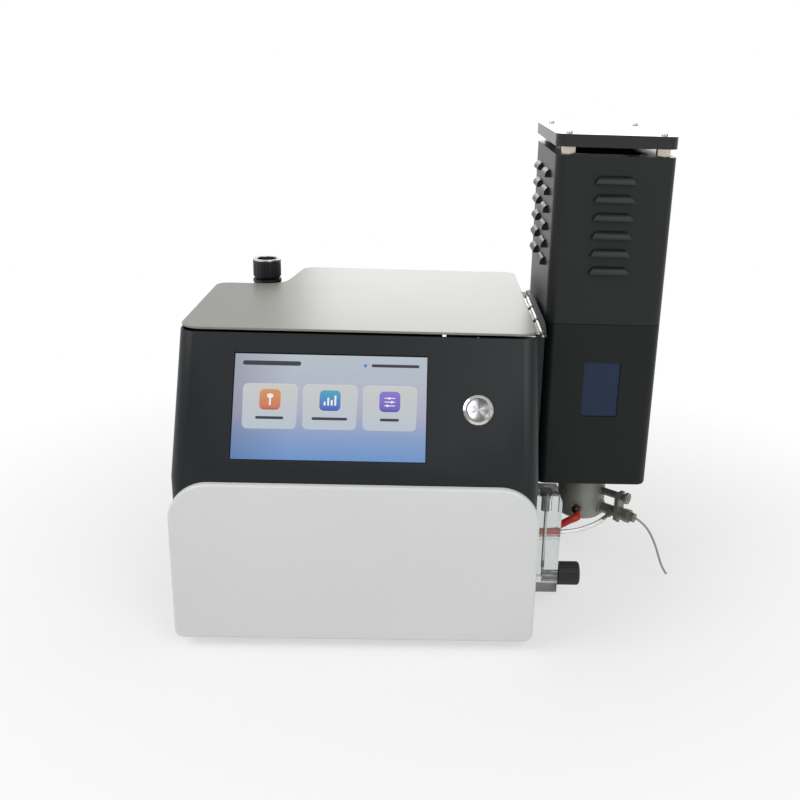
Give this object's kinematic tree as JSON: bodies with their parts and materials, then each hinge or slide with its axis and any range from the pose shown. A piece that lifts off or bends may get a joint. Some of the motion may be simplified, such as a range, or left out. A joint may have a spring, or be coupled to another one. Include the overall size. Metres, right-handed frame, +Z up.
{
  "type": "flame photometer",
  "caption": "Bench flame photometer with a sloping touch screen, hinged top cover, louvred burner tower, nebulizer with sample capillary, flowmeter block and rear pressure regulator",
  "frame": {"origin": "on the bench, under the middle of the object's box measured without the two hoses and the capillary", "axes": "+Z up, -Y towards the user (screen and white front cover), +X to the right, where the burner tower stands"},
  "size_m": [0.4318, 0.3294, 0.4078],
  "materials": {
    "dark_housing": "satin",
    "white_cover": "satin",
    "silver_cover": "satin",
    "rubber_feet": "matte",
    "zinc_screws": "satin",
    "screen_glass": "gloss",
    "display": "matte",
    "button_metal": "gloss",
    "button_face": "satin",
    "circuit_board": "matte",
    "zinc_cage": "satin",
    "brass_fittings": "satin",
    "black_plastic": "matte",
    "black_anodised": "matte",
    "optical_glass": "gloss",
    "filter_glass": "gloss",
    "grey_casting": "satin",
    "steel": "satin",
    "ceramic": "gloss",
    "dark_steel": "satin",
    "capillary_tube": "satin",
    "bronze": "satin",
    "red_rubber": "satin",
    "clear_hose": "gloss",
    "clear_acrylic": "gloss",
    "float": "gloss",
    "tower_paint": "satin",
    "blue_glass": "gloss",
    "nickel": "satin"
  },
  "bodies": {
    "base": {"base_tray": "dark_housing", "housing": "dark_housing", "front_cover": "white_cover", "rear_panel": "dark_housing", "hinge_leaf_fixed": "dark_housing", "hinge_pin": "silver_cover", "mount_plate": "dark_housing", "feet": "rubber_feet", "foot_screws": "zinc_screws", "touch_glass": "screen_glass", "display_module": "display", "button_body": "button_metal", "control_board": "circuit_board", "power_supply": "zinc_cage", "gas_valve": "brass_fittings", "ignition_coil": "black_plastic", "detector_block": "black_anodised", "lens_tube": "black_anodised", "lens": "optical_glass", "optical_filters": "filter_glass", "detector_board": "circuit_board", "mixing_chamber": "grey_casting", "burner_head": "steel", "igniter": "ceramic", "drain_fitting": "brass_fittings", "nebulizer_body": "dark_steel", "nebulizer_yoke": "dark_steel", "clamp_stud": "dark_steel", "sample_capillary": "capillary_tube", "gas_elbow": "bronze", "gas_hose": "red_rubber", "air_hose": "clear_hose", "hose_fittings": "brass_fittings", "flowmeter_body": "clear_acrylic", "flowmeter_fittings": "dark_steel", "tower_lower": "tower_paint", "tower_upper": "tower_paint", "window_glass": "blue_glass", "window_frame": "black_anodised", "inner_chimney": "steel", "tower_lid": "tower_paint", "lid_standoffs": "nickel", "lid_screws": "zinc_screws", "regulator_body": "grey_casting", "regulator_bonnet": "black_plastic", "regulator_bowl": "clear_acrylic", "power_inlet": "black_plastic", "fan_frame": "black_plastic"},
    "cover": {"top_cover": "silver_cover", "hinge_leaf_moving": "silver_cover"},
    "button": {"button_cap": "button_face"},
    "clamp": {"clamp_knob": "steel"},
    "lock_nut": {"nebulizer_nut": "dark_steel"},
    "float": {"flowmeter_float": "float"},
    "valve": {"valve_stem": "steel", "valve_knob": "black_plastic"},
    "regulator": {"regulator_knob": "black_plastic", "regulator_ring": "steel"},
    "rocker": {"rocker_switch": "black_plastic"},
    "rotor": {"fan_rotor": "black_plastic"}
  },
  "joints": [
    {"name": "cover_hinge", "type": "hinge", "parent": "base", "child": "cover", "pos_m": [0.089, -0.0269, 0.2509], "axis": [0, 1, 0], "range_deg": [0, 88]},
    {"name": "button_press", "type": "slide", "parent": "base", "child": "button", "axis": [0, 0.8788, -0.4772], "range_m": [0, 0.003], "stiffness_N_per_m": 400, "springref_m": -0.002},
    {"name": "clamp_turn", "type": "hinge", "parent": "base", "child": "clamp", "pos_m": [0.18412, -0.02555, 0.0765], "axis": [0.7604, -0.6494, 0], "range_deg": [0, 1080]},
    {"name": "lock_nut_turn", "type": "hinge", "parent": "base", "child": "lock_nut", "pos_m": [0.1883, -0.02912, 0.0595], "axis": [0.7604, -0.6494, 0], "range_deg": [-180, 180]},
    {"name": "float_rise", "type": "slide", "parent": "base", "child": "float", "axis": [0, 0, 1], "range_m": [0, 0.048]},
    {"name": "valve_turn", "type": "hinge", "parent": "base", "child": "valve", "pos_m": [0.1254, -0.0892, 0.0316], "axis": [1, 0, 0], "range_deg": [0, 1080]},
    {"name": "regulator_turn", "type": "hinge", "parent": "base", "child": "regulator", "pos_m": [-0.1631, 0.1003, 0.26], "axis": [0, 0, 1], "range_deg": [-900, 900]},
    {"name": "rocker_tip", "type": "hinge", "parent": "base", "child": "rocker", "pos_m": [-0.0531, 0.1432, 0.06], "axis": [1, 0, 0], "range_deg": [-20, 0]},
    {"name": "rotor_spin", "type": "hinge", "parent": "base", "child": "rotor", "pos_m": [0.0294, 0.1282, 0.17], "axis": [0, 1, 0], "continuous": true}
  ]
}
